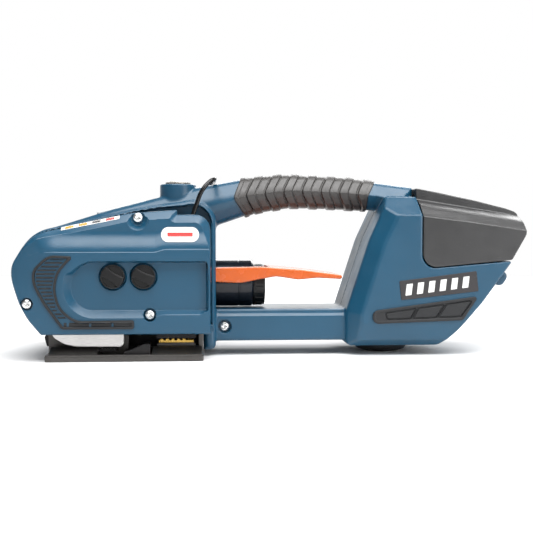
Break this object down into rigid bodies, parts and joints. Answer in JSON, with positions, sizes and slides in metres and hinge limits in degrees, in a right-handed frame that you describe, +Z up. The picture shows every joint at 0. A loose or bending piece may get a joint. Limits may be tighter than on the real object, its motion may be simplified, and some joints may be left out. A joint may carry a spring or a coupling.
{
  "type": "battery strapping tool",
  "caption": "Hand-held battery strapping tool: blue moulded body with a ribbed grip over a beam, side-covered tensioning and welding head, squeeze lever, lifting bail and slide-on battery.",
  "frame": {"origin": "centre of the bounding box's bottom face, on the surface that the base plate and the rear foot stand on", "axes": "+X from the strapping head to the battery, +Y away from the side cover that the strap is fed under, +Z up"},
  "size_m": [0.3713, 0.1266, 0.1335],
  "materials": {
    "body_blue": "fine-grained injection moulding, satin",
    "black_trim": "satin moulding",
    "grip_grey": "soft-touch ribbed sleeve",
    "pad_rubber": "moulded rubber",
    "base_black": "black-finished machined steel",
    "bright_steel": "ground and polished",
    "dark_wire": "black-coated wire",
    "weld_brass": "toothed, gold finish",
    "motor_steel": "glossy dark can",
    "lever_orange": "glossy moulding",
    "button_white": "domed push button",
    "battery_grey": "grained moulding",
    "cell_wrap": null,
    "board_green": "soldered circuit board",
    "display_dark": "glossy membrane panel"
  },
  "bodies": {
    "root": {"base_plate": "base_black", "beam_screw": "bright_steel", "button_ring": "black_trim", "control_board": "board_green", "cover_screw_lower": "bright_steel", "cover_screw_nose": "bright_steel", "cover_screw_top": "bright_steel", "display_panel": "display_dark", "far_body_shell": "body_blue", "far_cover": "body_blue", "far_cover_screw_lower": "bright_steel", "far_cover_screw_nose": "bright_steel", "far_cover_screw_top": "bright_steel", "front_pad_far": "pad_rubber", "front_pad_near": "pad_rubber", "handle_grip": "grip_grey", "lever_pin_far": "bright_steel", "lever_pin_near": "bright_steel", "lower_weld_plate": "weld_brass", "main_frame": "base_black", "motor_can": "motor_steel", "motor_end_cap": "black_trim", "near_body_shell": "body_blue", "rear_foot": "pad_rubber", "rear_pad_far": "pad_rubber", "rear_pad_near": "pad_rubber", "ring_gear": "bright_steel", "rocker_spring": "bright_steel", "side_cover": "body_blue", "strap_ramp": "bright_steel", "tension_foot": "bright_steel", "terminal_block": "black_trim", "weld_belt": "pad_rubber", "wiring_loom": "pad_rubber"},
    "lever": {"lever": "lever_orange"},
    "rocker": {"rocker_arm": "base_black", "wheel_guard": "bright_steel", "tension_belt": "pad_rubber"},
    "wheel": {"tension_wheel": "bright_steel", "wheel_shaft": "bright_steel"},
    "cross": {"cross_shaft": "bright_steel", "crown_gear": "bright_steel"},
    "rotor": {"motor_rotor": "bright_steel", "sun_gear": "bright_steel"},
    "carrier": {"planet_carrier": "bright_steel", "crown_pinion": "bright_steel"},
    "planet_1": {"planet_gear_1": "bright_steel"},
    "planet_2": {"planet_gear_2": "bright_steel"},
    "planet_3": {"planet_gear_3": "bright_steel"},
    "eccentric": {"eccentric_shaft": "bright_steel"},
    "gripper": {"weld_gripper": "weld_brass"},
    "cutter": {"cutter_blade": "bright_steel"},
    "bail": {"bail": "dark_wire"},
    "button": {"start_button": "button_white"},
    "tension_knob": {"tension_knob": "black_trim"},
    "weld_knob": {"weld_knob": "black_trim"},
    "battery": {"battery_case": "battery_grey", "battery_cells": "cell_wrap"},
    "latch": {"battery_latch": "body_blue"}
  },
  "joints": [
    {"name": "lever_pull", "type": "hinge", "parent": "root", "child": "lever", "pos_m": [-0.062, 0, 0.057], "axis": [0, -1, 0], "range_deg": [0, 15], "stiffness_Nm_per_rad": 4, "springref_deg": -5.73},
    {"name": "rocker_swing", "type": "hinge", "parent": "root", "child": "rocker", "pos_m": [-0.1, 0, 0.0518], "axis": [0, 1, 0], "range_deg": [0, 12], "deforming": ["rocker_spring"]},
    {"name": "motor_spin", "type": "hinge", "parent": "root", "child": "rotor", "pos_m": [-0.04, 0, 0.0518], "axis": [1, 0, 0], "continuous": true},
    {"name": "carrier_spin", "type": "hinge", "parent": "root", "child": "carrier", "pos_m": [-0.078, 0, 0.0518], "axis": [1, 0, 0], "continuous": true},
    {"name": "planet_1_spin", "type": "hinge", "parent": "carrier", "child": "planet_1", "pos_m": [-0.072, 0, 0.0614], "axis": [1, 0, 0], "continuous": true},
    {"name": "planet_2_spin", "type": "hinge", "parent": "carrier", "child": "planet_2", "pos_m": [-0.072, -0.00831, 0.047], "axis": [1, 0, 0], "continuous": true},
    {"name": "planet_3_spin", "type": "hinge", "parent": "carrier", "child": "planet_3", "pos_m": [-0.072, 0.00831, 0.047], "axis": [1, 0, 0], "continuous": true},
    {"name": "cross_spin", "type": "hinge", "parent": "root", "child": "cross", "pos_m": [-0.1, 0, 0.0518], "axis": [0, 1, 0], "continuous": true},
    {"name": "wheel_spin", "type": "hinge", "parent": "rocker", "child": "wheel", "pos_m": [-0.126, 0, 0.0246], "axis": [0, 1, 0], "continuous": true},
    {"name": "eccentric_spin", "type": "hinge", "parent": "root", "child": "eccentric", "pos_m": [-0.07, 0, 0.024], "axis": [0, 1, 0], "continuous": true},
    {"name": "weld_gripper_shuttle", "type": "slide", "parent": "root", "child": "gripper", "axis": [1, 0, 0], "range_m": [-0.0012, 0.0012], "stiffness_N_per_m": 2000},
    {"name": "cutter_stroke", "type": "slide", "parent": "root", "child": "cutter", "axis": [0, 0, -1], "range_m": [0, 0.0035], "stiffness_N_per_m": 400, "springref_m": -0.003},
    {"name": "button_press", "type": "slide", "parent": "root", "child": "button", "axis": [0, 0, -1], "range_m": [0, 0.002], "stiffness_N_per_m": 300, "springref_m": -0.002},
    {"name": "tension_knob_turn", "type": "hinge", "parent": "root", "child": "tension_knob", "pos_m": [-0.1134, -0.057, 0.0589], "axis": [0, 1, 0], "range_deg": [-135, 135]},
    {"name": "weld_knob_turn", "type": "hinge", "parent": "root", "child": "weld_knob", "pos_m": [-0.0922, -0.057, 0.0588], "axis": [0, 1, 0], "range_deg": [-135, 135]},
    {"name": "bail_swing", "type": "hinge", "parent": "root", "child": "bail", "pos_m": [-0.0585, 0, 0.098], "axis": [0, -1, 0], "range_deg": [0, 38]},
    {"name": "battery_slide", "type": "slide", "parent": "root", "child": "battery", "axis": [0.9959, 0, 0.0906], "range_m": [0, 0.09]},
    {"name": "latch_press", "type": "slide", "parent": "root", "child": "latch", "axis": [-0.8083, 0, 0.5888], "range_m": [0, 0.0025], "stiffness_N_per_m": 600, "springref_m": -0.002}
  ],
  "couplings": [
    {"joint": "rocker_swing", "follows": "lever_pull", "ratio": 0.8},
    {"joint": "carrier_spin", "follows": "motor_spin", "ratio": 0.25},
    {"joint": "planet_1_spin", "follows": "motor_spin", "ratio": -0.75},
    {"joint": "planet_2_spin", "follows": "motor_spin", "ratio": -0.75},
    {"joint": "planet_3_spin", "follows": "motor_spin", "ratio": -0.75},
    {"joint": "cross_spin", "follows": "motor_spin", "ratio": -0.125},
    {"joint": "wheel_spin", "follows": "motor_spin", "ratio": -0.125},
    {"joint": "eccentric_spin", "follows": "motor_spin", "ratio": -0.20833}
  ]
}
